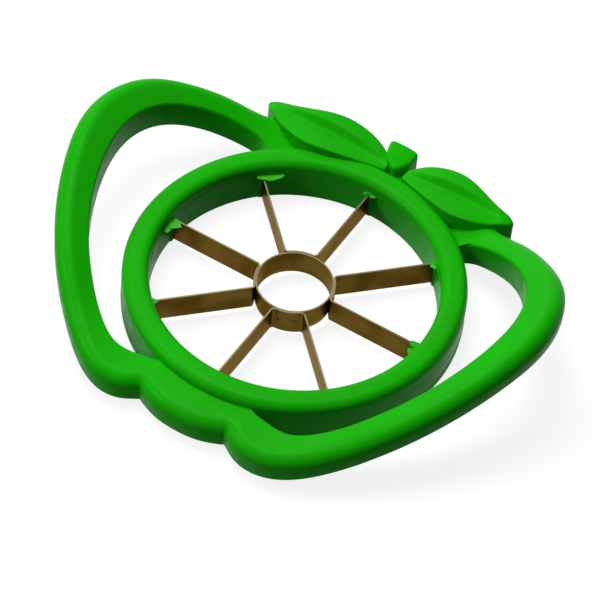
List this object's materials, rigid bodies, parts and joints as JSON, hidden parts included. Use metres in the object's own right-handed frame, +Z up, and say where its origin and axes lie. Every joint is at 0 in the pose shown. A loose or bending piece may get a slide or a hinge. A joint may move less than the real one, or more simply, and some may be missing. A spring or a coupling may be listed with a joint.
{
  "type": "apple slicer",
  "caption": "Apple-shaped hand slicer: a moulded plastic frame with two raised loop handles holds a steel core ring and radial blades.",
  "frame": {"origin": "centre of the cutting ring, on the plane that the ring rests on", "axes": "+Z up, away from the cutting edges; +Y from the ring's centre to the stem; +X to the right handle"},
  "size_m": [0.1646, 0.1304, 0.0348],
  "materials": {
    "green_plastic": "satin moulded plastic",
    "steel": "rolled stainless sheet, ground cutting edges"
  },
  "bodies": {
    "root": {"apple_frame": "green_plastic", "core_ring": "steel", "blade_strip_1": "steel", "blade_strip_2": "steel", "blade_strip_3": "steel", "blade_strip_4": "steel"}
  },
  "joints": []
}
